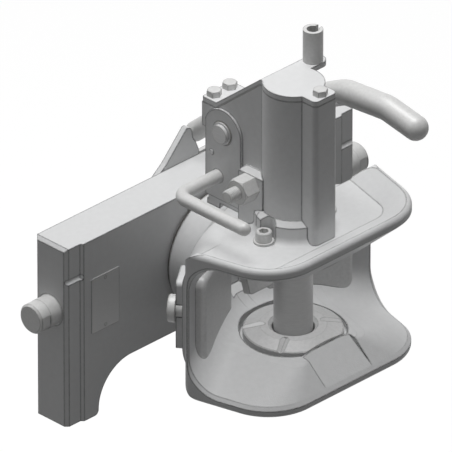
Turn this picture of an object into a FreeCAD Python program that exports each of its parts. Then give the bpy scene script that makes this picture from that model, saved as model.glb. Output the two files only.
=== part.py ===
import FreeCAD, Part
import math
import os
from FreeCAD import Vector

# Clevis hitch for the hitch ladder of a tractor.
# The origin is the coupling point: the coupling pin's axis meets the axis that the jaw swivels about.
# +X runs across the slide plate, the mouth opens towards -Y, and +Z is up. Lengths are in millimetres.

# Fits and clearances
running_fit = 0.05
loose_fit = 0.3
seat_gap = 0.1

# Slide plate, which runs in the rails of the hitch ladder
slide_width = 390.0
slide_standoff = 107.5
slide_thickness = 45.3
rail_step = 2.7
rail_width = 20.2
slide_top = 73.0
slide_web_bottom = -73.0
slide_leg_bottom = -122.0
leg_width = 40.0
leg_arch_radius = 43.9
leg_corner_radius = 5.0
end_chamfer = 3.5
groove_radius = 3.0
groove_height = 36.4

# Blank type plate and its rivets
type_plate_width = 37.0
type_plate_height = 60.0
type_plate_thickness = 0.8
type_plate_from_end = 49.0
rivet_spacing = 51.6
rivet_radius = 3.0
rivet_shank_radius = 1.5
rivet_head = 1.4

# Lock pins in the ends of the slide plate
lock_pin_radius = 15.4
lock_pin_body_radius = 16.0
lock_pin_stand_out = 27.0
lock_pin_neck = 1.0
lock_pin_neck_out = 0.3
lock_pin_length = 100.0
lock_pin_travel = 25.0
lock_pin_chamfer = 2.0
lock_pin_tip_radius = 15.2
lock_pin_tip_length = 13.5
lock_pin_flat_depth = 1.0
lock_pin_flat_length = 10.5
lock_bore_depth = 120.0
lock_spring_radius = 14.5
lock_spring_wire = 3.0

# Link bars between the lock pins and the release lever
stud_radius = 5.0
stud_from_end = 55.0
link_thickness = 5.0
link_bar_width = 14.0
peg_radius = 5.0
peg_circle = 62.0
peg_side_play = 0.5
slot_wall = 3.0
release_angle = math.degrees(math.asin(lock_pin_travel / peg_circle))

# Release lever on the boss behind the slide plate
boss_radius = 44.0
boss_height = 11.2
release_ring_radius = 72.0
release_thickness = 6.7
release_gap = 0.4
arm_root_left = -36.0
arm_root_right = 26.0
arm_root_low = 50.0
arm_root_high = 64.0
arm_hollow_x = -18.0
arm_hollow_z = 78.0
arm_side_top = 77.0
arm_tip_left = 10.0
arm_tip_right = 15.0
arm_tip_top = 107.5
retainer_thickness = 2.0
retainer_width = 4.0
grip_radius = 10.0
grip_length = 45.0
grip_rise_angle = 41.0
grip_end_x = 27.0
grip_end_z = 94.0

# Swivel joint of the jaw
swivel_radius = 32.0
bush_wall = 5.0
friction_ring_thickness = 3.0
friction_ring_inner = 42.0
friction_ring_outer = 62.0
spigot_radius = 28.0
spigot_depth = 12.0
thread_radius = 24.0
thread_length = 31.0
washer_radius = 43.0
washer_thickness = 4.7
nut_flats = 70.0
nut_height = 22.0
nut_slot_width = 6.0
nut_slot_depth = 7.0
split_pin_radius = 2.6
split_pin_eye_radius = 6.1
split_pin_eye_hole = 2.3
split_pin_end_out = 6.0

# Jaw: hub and plan outline of the lips
hub_radius = 64.0
hub_front_y = 74.0
neck_flare = 12.0
lip_reach = 79.0
jaw_half_width = 128.0
wall_rear_y = 27.0
wall_front_y = 15.0
lip_taper = 8.0 / 31.0
lip_corner_radius = 55.0
wall_corner_radius = 11.0
rim_height = 81.0
rim_round = 5.5
rim_bevel = 3.5
side_corner_radius = 27.0
deck_height = 66.5
wing_wall_angle = 36.3
deck_edge_radius = 33.0

# Jaw: inside of the mouth
throat_floor = -46.0
throat_ceiling = 42.0
rim_floor = -69.5
rim_ceiling = 68.0
throat_rear_y = 80.0
mouth_wall_angle = 28.0
mouth_fillet = 33.0
throat_front_inset = 30.0
throat_corner_radius = 8.0
platform_inset = 92.0
platform_drop = 3.0
flare_inset = 62.0
lip_round = 5.0
flare_rear_y = -15.0
mouth_end_y = -120.0
ramp_half_width = 31.0
ramp_top_y = -42.0
ramp_foot_y = -77.0

# Jaw: dished outer faces of the lips
dish_front_inset = 32.0
dish_side_inset = 26.0
dish_corner_radius = 23.0
crest_inset = 5.5

# Jaw: collar and lugs round the foot of the housing
collar_radius = 37.5
collar_top = 84.0
collar_chamfer_top = 89.0
collar_fillet = 8.0
lug_front_y = 13.0
lug_rear_y = 46.0
lug_face = 28.5
lug_top = 126.0
lug_bevel = 5.0
ear_face = 34.0
ear_front_y = 4.0
ear_rear_y = 16.5
ear_top = 87.0

# Wear ring in the lower lip, and the round recess that it lies in
ring_radius = 48.5
ring_seat_radius = 52.0
ring_hole_radius = 20.7
ring_crown_radius = 32.4
ring_top = -41.5
ring_shoulder = -45.5
ring_floor = -54.0
ring_edge_bevel = 1.0
ring_hole_bevel = 3.1
notch_start = 27.0
notch_start_depth = 1.2
notch_end_depth = 6.5
notch_half_angle = 62.0
notch_angles = (-30.0, 45.0, 135.0, 210.0)

# Coupling pin and its guide bush
pin_radius = 19.0
pin_bottom = -70.0
pin_chamfer = 3.0
pin_top_chamfer = 1.5
pin_top_wall = 10.2
window_half_width = 8.0
window_play_up = 1.9
window_play_down = 3.6
arm_slot_front = 7.0
arm_slot_play = 0.8
guide_bush_radius = 24.0
guide_flange_radius = 50.0
guide_flange_thickness = 6.0

# Guide wings at the rear of the mouth
wing_thickness = 10.5
wing_outer_x = 105.0
wing_inner_x = 27.5
wing_bottom = -52.0
wing_top = 38.0
wing_edge_round = 5.0
backing_thickness = 8.0
backing_bottom = -43.0
backing_top = 31.0
backing_outer_x = 108.0
backing_inner_x = 78.0
backing_corner = 5.0
wing_bolt_x = 104.0
wing_bolt_radius = 8.0
wing_bolt_head_radius = 13.5
wing_bolt_head = 8.0
wing_bolt_reach = 20.0

# Housing of the mechanism
housing_half_width = 20.0
housing_wall = 7.0
housing_rear_y = 96.0
housing_barrel_radius = 30.0
housing_top = 218.5
nose_half_width = 15.0
nose_reach = 44.0
nose_corner_radius = 5.0
chamber_rear_y = 90.0
chamber_front_y = 5.0
housing_corner_radius = 3.0
slope_front_y = 25.0
slope_rear_y = 84.0
rear_top = 169.5
rear_boss_y = 103.0
rear_boss_drop = 26.0
arch_rise = 2.5
arch_radius = 24.5

# Cover plate with its bolts and the tube for a remote-control cable
cover_thickness = 5.5
cover_bolt_flats = 13.0
cover_bolt_head = 6.0
cover_bolt_radius = 4.0
cover_bolt_length = 16.0
front_bolt_y = -35.5
rear_bolt_y = 96.0
rear_bolt_x = 10.5
tube_x = 42.0
tube_y = 16.0
tube_radius = 9.8
tube_bore = 5.9
tube_height = 34.0
tube_slot = 4.6
cover_lug_radius = 13.0

# Hand lever, its shaft and the crank inside the housing
shaft_y = 73.0
shaft_z = 147.2
shaft_radius = 9.5
shaft_left_x = -27.5
shaft_right_x = 80.0
bush_radius = 12.0
snap_ring_radius = 11.5
snap_ring_thickness = 1.5
crank_reach = 84.5
crank_rest_angle = -45.5
crank_top_angle = 38.5
crank_tip_half_width = 7.0
crank_tip_radius = 6.0
crank_arm_half_width = 4.0
crank_arm_depth = 9.0
crank_hub_radius = 15.0
lever_x = 68.0
lever_radius = 12.5
lever_hub_radius = 17.0
lever_hub_half_length = 12.0
lever_bend_radius = 32.0
elbow_y = -3.0
elbow_z = 186.4
grip_bend_y = -58.0
grip_bend_z = 191.1
grip_tip_y = -95.3
grip_tip_z = 184.3
pin_lift = crank_reach * (
    math.sin(math.radians(crank_top_angle)) - math.sin(math.radians(crank_rest_angle)))

# Torsion spring that shuts the hand lever
torsion_radius = 16.0
torsion_wire = 2.0
torsion_start_x = 23.5
torsion_pitch = 4.4
torsion_turns = 7
hook_y = 2.0
hook_z = 176.0

# Closing handle and trigger finger
trigger_y = 79.0
trigger_z = 98.0
handle_radius = 6.7
handle_side_x = -77.0
handle_end_y = -10.4
handle_bend_radius = 12.0
trigger_hub_radius = 9.8
trigger_half_width = 12.0
finger_thickness = 9.0
finger_tip_y = 42.0
finger_tip_z = -19.0
finger_tip_half_width = 20.0
finger_blade_top = 14.0
trigger_swing = 7.0
slot_front_y = 50.5
slot_rear_y = 87.0
slot_floor = -35.5
stop_pin_y = 87.5
stop_pin_z = 121.0
stop_pin_radius = 2.5

# Studs that hold the housing between the side lugs
lug_stud_y = 30.0
lug_stud_z = 109.0
lug_stud_radius = 6.7
lug_stud_end = 60.0
lug_nut_flats = 24.0
lug_nut_height = 18.0
stud_boss_radius = 12.0
stud_boss_face = 9.0

# Socket-head screws beside the collar
screw_x = 42.0
screw_y = -2.0
screw_radius = 5.0
screw_head_radius = 8.0
screw_head_height = 10.0
screw_hex_flats = 8.0
screw_washer_radius = 10.2
screw_washer_thickness = 2.0

# Values that follow from the ones above
slide_front = slide_standoff
slide_rear = slide_front + slide_thickness
half_slide = slide_width / 2
type_plate_x = type_plate_from_end - half_slide
stud_x = half_slide - stud_from_end
lock_y = slide_front + rail_step + (slide_thickness - rail_step) / 2
boss_rear = slide_rear + boss_height
bush_radius_outer = swivel_radius + running_fit + bush_wall
hub_rear = slide_front - friction_ring_thickness - loose_fit
release_front = slide_rear + release_gap
release_rear = release_front + release_thickness
link_front = release_rear + release_gap
washer_front = boss_rear + loose_fit
crank_tip_z = shaft_z + crank_reach * math.sin(math.radians(crank_rest_angle))
crank_tip_y = shaft_y - crank_reach * math.cos(math.radians(crank_rest_angle))
window_low = crank_tip_z - crank_tip_radius - window_play_down
window_high = crank_tip_z + crank_tip_radius + window_play_up
pin_top = window_high + pin_top_wall


def box(x0, x1, y0, y1, z0, z1):
    """Block between two limits on each axis."""
    return Part.makeBox(x1 - x0, y1 - y0, z1 - z0, Vector(x0, y0, z0))


def round_x(radius, x0, x1, y, z):
    """Cylinder along X."""
    return Part.makeCylinder(radius, x1 - x0, Vector(x0, y, z), Vector(1, 0, 0))


def round_y(radius, y0, y1, x, z):
    """Cylinder along Y."""
    return Part.makeCylinder(radius, y1 - y0, Vector(x, y0, z), Vector(0, 1, 0))


def round_z(radius, z0, z1, x, y):
    """Cylinder along Z."""
    return Part.makeCylinder(radius, z1 - z0, Vector(x, y, z0), Vector(0, 0, 1))


def ring_z(outer, inner, z0, z1, x, y):
    """Ring about a vertical axis."""
    return round_z(outer, z0, z1, x, y).cut(round_z(inner, z0, z1, x, y))


def ring_y(outer, inner, y0, y1, x, z):
    """Ring about an axis along Y."""
    return round_y(outer, y0, y1, x, z).cut(round_y(inner, y0, y1, x, z))


def join(shapes):
    """One solid from shapes that touch or overlap."""
    return shapes[0].multiFuse(shapes[1:]).removeSplitter()


def outline(corners, place):
    """Closed wire through corners (a, b, radius), placed in space by a function of (a, b)."""
    turns = []
    for index, (a, b, radius) in enumerate(corners):
        corner = Vector(a, b, 0)
        last_a, last_b, _ = corners[index - 1]
        next_a, next_b, _ = corners[(index + 1) % len(corners)]
        back = (Vector(last_a, last_b, 0) - corner).normalize()
        ahead = (Vector(next_a, next_b, 0) - corner).normalize()
        if radius == 0:
            turns.append((corner, corner, corner))
            continue
        half = back.getAngle(ahead) / 2
        reach = radius / math.tan(half)
        middle = (back + ahead).normalize() * (radius / math.sin(half) - radius)
        turns.append((corner + back * reach, corner + middle, corner + ahead * reach))
    edges = []
    for index, (start, middle, end) in enumerate(turns):
        following = turns[(index + 1) % len(turns)][0]
        if (end - start).Length > 1e-6:
            arc = Part.Arc(place(start), place(middle), place(end))
            edges.append(arc.toShape())
        if (following - end).Length > 1e-6:
            edges.append(Part.LineSegment(place(end), place(following)).toShape())
    return Part.Wire(edges)


def plan(corners, z):
    """Outline in the horizontal plane at height z."""
    return outline(corners, lambda point: Vector(point.x, point.y, z))


def side_view(corners, x):
    """Outline of (y, z) corners in the plane at x."""
    return outline(corners, lambda point: Vector(x, point.x, point.y))


def front_view(corners, y):
    """Outline of (x, z) corners in the plane at y."""
    return outline(corners, lambda point: Vector(point.x, y, point.y))


def prism_z(corners, z0, z1):
    return Part.Face(plan(corners, z0)).extrude(Vector(0, 0, z1 - z0))


def prism_x(corners, x0, x1):
    return Part.Face(side_view(corners, x0)).extrude(Vector(x1 - x0, 0, 0))


def prism_y(corners, y0, y1):
    return Part.Face(front_view(corners, y0)).extrude(Vector(0, y1 - y0, 0))


def mirror_x(shape):
    """The shape and its mirror image on the other side of the middle plane."""
    return shape.mirror(Vector(0, 0, 0), Vector(1, 0, 0))


def bar(points, radius, bend):
    """Round bar along straight runs joined by tangent arcs of one bend radius."""
    edges = []
    start = points[0]
    for before, corner, after in zip(points, points[1:], points[2:]):
        back = (before - corner).normalize()
        ahead = (after - corner).normalize()
        half = back.getAngle(ahead) / 2
        reach = bend / math.tan(half)
        arc_start = corner + back * reach
        arc_end = corner + ahead * reach
        middle = corner + (back + ahead).normalize() * (bend / math.sin(half) - bend)
        edges.append(Part.LineSegment(start, arc_start).toShape())
        edges.append(Part.Arc(arc_start, middle, arc_end).toShape())
        start = arc_end
    edges.append(Part.LineSegment(start, points[-1]).toShape())
    section = Part.Wire(Part.makeCircle(radius, points[0], points[1] - points[0]))
    return Part.Wire(edges).makePipeShell([section], True, False)


def hexagon(flats, centre, axis_point):
    """Six corners (a, b, 0) of a hexagon, with its first corner turned by axis_point degrees."""
    reach = flats / 2 / math.cos(math.pi / 6)
    corners = []
    for step in range(6):
        angle = math.radians(axis_point + 60 * step)
        a = centre[0] + reach * math.cos(angle)
        b = centre[1] + reach * math.sin(angle)
        corners.append((a, b, 0))
    return corners


def lip_corners(front_inset, side_inset, radius, rear_y, rear_radius=0):
    """Corners of the lips' plan outline, moved in at the front and at the sides."""
    slant = math.sqrt(1 + lip_taper ** 2)
    front = -lip_reach + front_inset
    edge = jaw_half_width - side_inset * slant
    half_front = edge + (front - wall_rear_y) * lip_taper
    half_rear = edge + (rear_y - wall_rear_y) * lip_taper
    return [
        (-half_rear, rear_y, rear_radius), (-half_front, front, radius),
        (half_front, front, radius), (half_rear, rear_y, rear_radius)]


def slide_plate():
    """Carrier plate: flat main face between two rails, legs, pin bores and a boss for the lever."""
    rail_front = slide_front + rail_step
    step_x = half_slide - end_chamfer - rail_width + rail_step
    rail_edge = half_slide - end_chamfer
    section = [
        (-step_x, slide_front, 0), (step_x, slide_front, 0), (step_x + rail_step, rail_front, 0),
        (rail_edge, rail_front, 0), (half_slide, rail_front + end_chamfer, 0),
        (half_slide, slide_rear - end_chamfer, 0), (rail_edge, slide_rear, 0),
        (-rail_edge, slide_rear, 0), (-half_slide, slide_rear - end_chamfer, 0),
        (-half_slide, rail_front + end_chamfer, 0), (-rail_edge, rail_front, 0),
        (-step_x - rail_step, rail_front, 0)]
    block = prism_z(section, slide_leg_bottom, slide_top)
    leg_inner = half_slide - leg_width
    face = [
        (-half_slide, slide_top - end_chamfer, 0), (-rail_edge, slide_top, 0),
        (rail_edge, slide_top, 0), (half_slide, slide_top - end_chamfer, 0),
        (half_slide, slide_leg_bottom, 0), (leg_inner, slide_leg_bottom, leg_corner_radius),
        (leg_inner, slide_web_bottom, leg_arch_radius),
        (-leg_inner, slide_web_bottom, leg_arch_radius),
        (-leg_inner, slide_leg_bottom, leg_corner_radius), (-half_slide, slide_leg_bottom, 0)]
    plate = block.common(prism_y(face, slide_front, slide_rear))
    plate = plate.fuse(round_y(boss_radius, slide_rear - 1, boss_rear, 0, 0))
    cuts = [round_y(bush_radius_outer, slide_front - 1, boss_rear + 1, 0, 0)]
    bore = lock_pin_body_radius + running_fit
    slot_inner = stud_x - lock_pin_travel - stud_radius - 1
    slot_outer = stud_x + stud_radius + 1
    for side in (-1, 1):
        outer = side * half_slide
        inner = side * (half_slide - lock_bore_depth)
        cuts.append(round_x(bore, min(outer, inner), max(outer, inner), lock_y, 0))
        slot = box(slot_inner, slot_outer, lock_y, slide_rear + 1, -stud_radius - 0.5, stud_radius + 0.5)
        cuts.append(slot if side > 0 else mirror_x(slot))
        groove_inner = side * step_x
        cuts.append(round_x(groove_radius, min(outer, groove_inner), max(outer, groove_inner),
                            rail_front, groove_height))
    retainer_y = release_rear + release_gap
    groove = ring_y(boss_radius + 1, boss_radius - 2, retainer_y, retainer_y + retainer_thickness, 0, 0)
    cuts.append(groove)
    return plate.cut(Part.makeCompound(cuts)).removeSplitter()


def type_plate():
    half = type_plate_width / 2
    rise = type_plate_height / 2
    corners = [
        (type_plate_x - half, -rise, 1.5), (type_plate_x + half, -rise, 1.5),
        (type_plate_x + half, rise, 1.5), (type_plate_x - half, rise, 1.5)]
    plate = prism_y(corners, slide_front - type_plate_thickness, slide_front)
    holes = []
    for z in (-rivet_spacing / 2, rivet_spacing / 2):
        holes.append(round_y(rivet_shank_radius, slide_front - 2, slide_front, type_plate_x, z))
    return plate.cut(Part.makeCompound(holes))


def plate_rivets():
    """Two small round-headed rivets through the type plate."""
    seat = slide_front - type_plate_thickness
    rivets = []
    for z in (-rivet_spacing / 2, rivet_spacing / 2):
        dome = (rivet_radius ** 2 + rivet_head ** 2) / (2 * rivet_head)
        centre = Vector(type_plate_x, seat - rivet_head + dome, z)
        head = Part.makeSphere(dome, centre).common(
            round_y(rivet_radius, seat - rivet_head, seat, type_plate_x, z))
        shank = round_y(rivet_shank_radius, seat, slide_front, type_plate_x, z)
        rivets.append(head.fuse(shank))
    return Part.makeCompound(rivets)


def lock_pin(side):
    """Round bar that locks the slide in the ladder, turned down where it stands out of the plate."""
    outer = half_slide + lock_pin_stand_out
    inner = outer - lock_pin_length
    neck = half_slide + lock_pin_neck_out
    body = round_x(lock_pin_body_radius, inner, neck - lock_pin_neck, lock_y, 0)
    cone = Part.makeCone(lock_pin_body_radius, lock_pin_radius, lock_pin_neck,
                         Vector(neck - lock_pin_neck, lock_y, 0), Vector(1, 0, 0))
    tip_start = outer - lock_pin_tip_length
    fit = round_x(lock_pin_radius, neck, tip_start, lock_y, 0)
    tip = round_x(lock_pin_tip_radius, tip_start, outer, lock_y, 0)
    pin = join([body, cone, fit, tip])
    end = Part.makeCone(
        lock_pin_tip_radius + outer, 0, lock_pin_tip_radius + outer,
        Vector(lock_pin_chamfer * -1, lock_y, 0), Vector(1, 0, 0))
    pin = pin.common(end)
    flat_end = outer - lock_pin_chamfer
    flat = box(flat_end - lock_pin_flat_length, flat_end, lock_y - 2 * lock_pin_radius,
               lock_y - lock_pin_tip_radius + lock_pin_flat_depth, -lock_pin_radius, lock_pin_radius)
    hole = round_y(stud_radius, lock_y, lock_y + 2 * lock_pin_radius, stud_x, 0)
    pin = pin.cut(flat).cut(hole)
    return pin if side > 0 else mirror_x(pin)


def lock_stud(side):
    """Stud in a lock pin that comes out through the slot in the slide plate and carries the link bar."""
    return round_y(stud_radius, lock_y, link_front + link_thickness + 1.5, side * stud_x, 0)


def lock_spring(side):
    """Spring behind a lock pin, as the sleeve that its coils fill."""
    outer = half_slide + lock_pin_stand_out - lock_pin_length
    inner = half_slide - lock_bore_depth
    core = lock_spring_radius - lock_spring_wire
    sleeve = round_x(lock_spring_radius, inner, outer, lock_y, 0)
    sleeve = sleeve.cut(round_x(core, inner, outer, lock_y, 0))
    return sleeve if side > 0 else mirror_x(sleeve)


def link_bar(side):
    """L-shaped bar from a lock pin's stud to its peg on the release lever."""
    half = link_bar_width / 2
    drop = peg_circle * (1 - math.cos(math.radians(release_angle)))
    slot_half = peg_radius + peg_side_play
    near = peg_circle - drop - slot_half - slot_wall
    far = peg_circle + half
    leg = box(stud_x - half, stud_x + half, link_front, link_front + link_thickness, 0, far)
    leg = leg.fuse(round_y(half, link_front, link_front + link_thickness, stud_x, 0))
    arm = box(0, stud_x, link_front, link_front + link_thickness, peg_circle - half, far)
    head = box(-slot_half - slot_wall, slot_half + slot_wall, link_front,
               link_front + link_thickness, near, far + slot_wall)
    slot = box(-slot_half, slot_half, link_front - 1, link_front + link_thickness + 1,
               peg_circle - drop - slot_half, peg_circle + slot_half)
    hole = round_y(stud_radius, link_front - 1, link_front + link_thickness + 1, stud_x, 0)
    link = join([leg, arm, head]).cut(slot).cut(hole)
    if side < 0:
        link = link.rotate(Vector(0, 0, 0), Vector(0, 1, 0), 180)
    return link


def grip_bar():
    """Round grip of the release lever, rising towards the jaw."""
    slope = math.radians(grip_rise_angle)
    direction = Vector(0, -math.cos(slope), math.sin(slope))
    foot = Vector(grip_end_x, release_rear, grip_end_z)
    shaft = Part.makeCylinder(grip_radius, grip_length, foot, direction)
    return shaft.fuse(Part.makeSphere(grip_radius, foot + direction * grip_length)).removeSplitter()


def release_plate():
    """Flat lever turning on the boss, with an arm that ends in the seat of the grip."""
    ring = ring_y(release_ring_radius, boss_radius + running_fit, release_front, release_rear, 0, 0)
    arm_corners = [
        (arm_root_left, arm_root_low, 0), (arm_root_right, arm_root_low, 0),
        (arm_root_right, arm_side_top, 2), (arm_tip_right, arm_tip_top - 2, 3),
        (arm_tip_left, arm_tip_top, 3), (arm_hollow_x, arm_hollow_z, 12),
        (arm_root_left, arm_root_high, 0)]
    arm = prism_y(arm_corners, release_front, release_rear)
    holes = [grip_bar()]
    for side in (-1, 1):
        holes.append(round_y(peg_radius, release_front - 1, release_rear + 1, 0, side * peg_circle))
    return join([ring, arm]).cut(Part.makeCompound(holes))


def release_pegs():
    """Two pegs in the release lever that push the link bars."""
    pegs = []
    for side in (-1, 1):
        pegs.append(round_y(peg_radius, release_front, link_front + link_thickness + 1, 0, side * peg_circle))
    return Part.makeCompound(pegs)


def lever_retainer():
    """Open spring ring that keeps the release lever on its boss."""
    front = release_rear + release_gap
    ring = ring_y(boss_radius + retainer_width, boss_radius - 2, front, front + retainer_thickness, 0, 0)
    gap = box(-5, 5, front - 1, front + retainer_thickness + 1, -boss_radius - 10, 0)
    return ring.cut(gap)


def swivel_bush():
    return ring_y(bush_radius_outer, swivel_radius + running_fit, slide_front, boss_rear, 0, 0)


def friction_ring():
    return ring_y(friction_ring_outer, friction_ring_inner, slide_front - friction_ring_thickness,
                  slide_front, 0, 0)


def swivel_shaft():
    """Shaft of the jaw, with a spigot in the hub and a thread for the castle nut."""
    seat = hub_rear
    spigot = round_y(spigot_radius, seat - spigot_depth, seat, 0, 0)
    journal = round_y(swivel_radius, seat, washer_front, 0, 0)
    thread = round_y(thread_radius, washer_front, washer_front + thread_length, 0, 0)
    pin_y = washer_front + washer_thickness + nut_height - nut_slot_depth / 2
    hole = round_x(split_pin_radius, -thread_radius - 1, thread_radius + 1, pin_y, 0)
    return join([spigot, journal, thread]).cut(hole)


def shaft_washer():
    return ring_y(washer_radius, thread_radius, washer_front, washer_front + washer_thickness, 0, 0)


def castle_nut():
    """Slotted hexagon nut on the swivel shaft."""
    front = washer_front + washer_thickness
    rear = front + nut_height
    body = prism_y(hexagon(nut_flats, (0, 0), 30), front, rear)
    cone = Part.makeCone(nut_flats * 0.5 + nut_height, nut_flats * 0.5 - 2, nut_height + 2,
                         Vector(0, front, 0), Vector(0, 1, 0))
    cuts = [round_y(thread_radius, front - 1, rear + 1, 0, 0)]
    for step in range(3):
        slot = box(-nut_flats, nut_flats, rear - nut_slot_depth, rear + 1,
                   -nut_slot_width / 2, nut_slot_width / 2)
        cuts.append(slot.rotate(Vector(0, 0, 0), Vector(0, 1, 0), 60 * step))
    return body.common(cone).cut(Part.makeCompound(cuts))


def split_pin():
    """Split pin through the nut's slots, with a round eye at one end."""
    pin_y = washer_front + washer_thickness + nut_height - nut_slot_depth / 2
    half_thickness = split_pin_radius * 0.7
    eye_x = nut_flats / 2 + loose_fit + split_pin_eye_radius
    shank = round_x(split_pin_radius - seat_gap, -nut_flats / 2 - split_pin_end_out,
                    eye_x - split_pin_eye_hole - seat_gap, pin_y, 0)
    eye = ring_y(split_pin_eye_radius, split_pin_eye_hole, pin_y - half_thickness,
                 pin_y + half_thickness, eye_x, 0)
    return shank.fuse(eye)


def lip_frame():
    """Outer block of both lips and side walls, C-shaped from the side, with a rounded rim."""
    block = prism_z(lip_corners(0, 0, lip_corner_radius, wall_rear_y, wall_corner_radius),
                    -rim_height, rim_height)
    rim_edges = []
    for edge in block.Edges:
        if abs(abs(edge.CenterOfMass.z) - rim_height) < 1e-6:
            rim_edges.append(edge)
    block = block.makeFillet(rim_round, rim_edges)
    profile = [
        (mouth_end_y, rim_height, 0), (wall_rear_y, rim_height, side_corner_radius),
        (wall_rear_y, -rim_height, side_corner_radius), (mouth_end_y, -rim_height, 0)]
    return block.common(prism_x(profile, -2 * jaw_half_width, 2 * jaw_half_width))


def rear_walls():
    """V-shaped rear of the jaw, with rounded deck edges, drawn in to the hub."""
    turn = math.radians(wing_wall_angle)
    along = Vector(-math.cos(turn), math.sin(turn), 0)
    inward = Vector(-math.sin(turn), -math.cos(turn), 0)
    start = Vector(jaw_half_width - wall_corner_radius * 0.3, wall_rear_y, 0)

    def place(point):
        return start + inward * point.x + Vector(0, 0, point.y)

    depth = 2 * jaw_half_width
    section = [
        (0, deck_height, deck_edge_radius), (0, -deck_height, deck_edge_radius),
        (depth, -deck_height, 0), (depth, deck_height, 0)]
    half = Part.Face(outline(section, place)).extrude(along * depth)
    reach = box(0, jaw_half_width - 2 * rim_round, -5, hub_front_y + 5, -deck_height, deck_height)
    half = half.common(reach)
    walls = half.fuse(mirror_x(half))
    flare = [
        (0, hub_front_y + 5, 0), (hub_radius, hub_front_y + 5, 0), (hub_radius, hub_front_y, 4),
        (hub_radius + neck_flare, hub_front_y - neck_flare, 0), (3 * jaw_half_width, -20, 0),
        (0, -20, 0)]
    turned = Part.Face(plan(flare, 0)).revolve(Vector(0, 0, 0), Vector(0, 1, 0), 360)
    return walls.common(turned)


def side_bevel():
    """Bevel along the right side edge of the mouth, from lip to lip round the rear wall."""
    lean = math.tan(math.radians(mouth_wall_angle))
    slant = math.sqrt(1 + lip_taper ** 2)
    start_y = flare_rear_y - 2 * rim_bevel
    outlines = []
    for inset in (rim_bevel, -1.0):
        step = rim_bevel - inset
        turn_y = wall_front_y + lean * (inset + wall_rear_y * lip_taper)
        rear = turn_y / (1 + lip_taper * lean) + step
        corners = [
            (start_y, rim_floor - step, 0), (rear, rim_floor - step, mouth_fillet + step),
            (rear, rim_ceiling + step, mouth_fillet + step), (start_y, rim_ceiling + step, 0)]
        outlines.append(side_view(corners, -inset * slant))
    upright = Part.makeLoft(outlines, True, True)
    to_side = FreeCAD.Matrix(1, lip_taper, 0, jaw_half_width - wall_rear_y * lip_taper)
    return upright.transformGeometry(to_side)


def lip_rows():
    """Side insets of the floor's edges, each with its share of the drop from throat to rim."""
    corner = platform_drop / (throat_floor - rim_floor)
    platform_run = lip_round / (platform_inset - flare_inset)
    flare_run = lip_round / (flare_inset - rim_bevel)
    return [
        (platform_inset + lip_round, 0), (platform_inset - lip_round, corner * platform_run),
        (flare_inset + lip_round, corner * (1 - platform_run)),
        (flare_inset - lip_round, corner + (1 - corner) * flare_run), (rim_bevel, 1)]


def throat_section(base, taper, share):
    """Side view of the mouth's inside in an upright plane whose x grows with y by the taper."""
    lean = math.tan(math.radians(mouth_wall_angle))
    floor = throat_floor + share * (rim_floor - throat_floor)
    ceiling = throat_ceiling + share * (rim_ceiling - throat_ceiling)
    rear = wall_front_y + lean * (jaw_half_width - base + wall_rear_y * taper)
    rear = min(rear / (1 + lean * taper), throat_rear_y)
    start_y = flare_rear_y - 2 * rim_bevel
    corners = [
        (start_y, floor, 0), (rear, floor, mouth_fillet), (rear, ceiling, mouth_fillet),
        (start_y, ceiling, 0)]
    return outline(corners, lambda point: Vector(
        base + (point.x - wall_rear_y) * taper, point.x, point.y))


def mouth_void():
    """Space inside the mouth: rounded rear corners, a V-shaped rear wall and flared lips."""
    slant = math.sqrt(1 + lip_taper ** 2)
    lean = math.tan(math.radians(mouth_wall_angle))
    middle = jaw_half_width - (throat_rear_y - wall_front_y) / lean
    right = [throat_section(middle, 0, 0)]
    left = [throat_section(-middle, 0, 0)]
    for inset, share in lip_rows() + [(-2 * rim_bevel, 1)]:
        section = throat_section(jaw_half_width - inset * slant, lip_taper, share)
        right.append(section)
        left.append(mirror_x(section))
    halves = [Part.makeLoft(right, True, True), Part.makeLoft(left, True, True),
              Part.makeLoft([left[0], right[0]], True, True)]
    low = rim_floor - rim_bevel - 1
    high = rim_ceiling + rim_bevel + 1
    front = box(-2 * jaw_half_width, 2 * jaw_half_width, mouth_end_y, flare_rear_y, low, high)
    for throat, rim, step in ((throat_floor, rim_floor, -1), (throat_ceiling, rim_ceiling, 1)):
        outlines = []
        for inset, share in lip_rows():
            front_inset = throat_front_inset + share * (rim_bevel - throat_front_inset)
            radius = throat_corner_radius + share * (lip_corner_radius - rim_bevel - throat_corner_radius)
            corners = lip_corners(front_inset, inset, radius, wall_rear_y)
            outlines.append(plan(corners, throat + share * (rim - throat)))
        edge = lip_corners(-1, -1, lip_corner_radius + 1, wall_rear_y)
        outlines.append(plan(edge, rim + step * (rim_bevel + 1)))
        front = front.cut(Part.makeLoft(outlines, True, True))
    void = front.multiFuse(halves + [side_bevel(), mirror_x(side_bevel())])
    ramp = [
        (ramp_top_y, throat_floor, 0), (ramp_foot_y, rim_floor - 1.0, 0),
        (mouth_end_y, rim_floor - 1.0, 0), (mouth_end_y, throat_floor + 5, 0),
        (ramp_top_y, throat_floor + 5, 0)]
    return void.fuse(prism_x(ramp, -ramp_half_width, ramp_half_width))


def lip_dish():
    """Hollow over the upper lip that leaves the raised rim; mirrored below the lower lip."""
    deck = lip_corners(dish_front_inset, dish_side_inset, dish_corner_radius, slide_front)
    crest = lip_corners(crest_inset, crest_inset, lip_corner_radius - crest_inset, slide_front)
    slope = Part.makeLoft([plan(deck, deck_height), plan(crest, rim_height)], True, True)
    return slope.fuse(prism_z(crest, rim_height, rim_height + 20))


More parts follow.
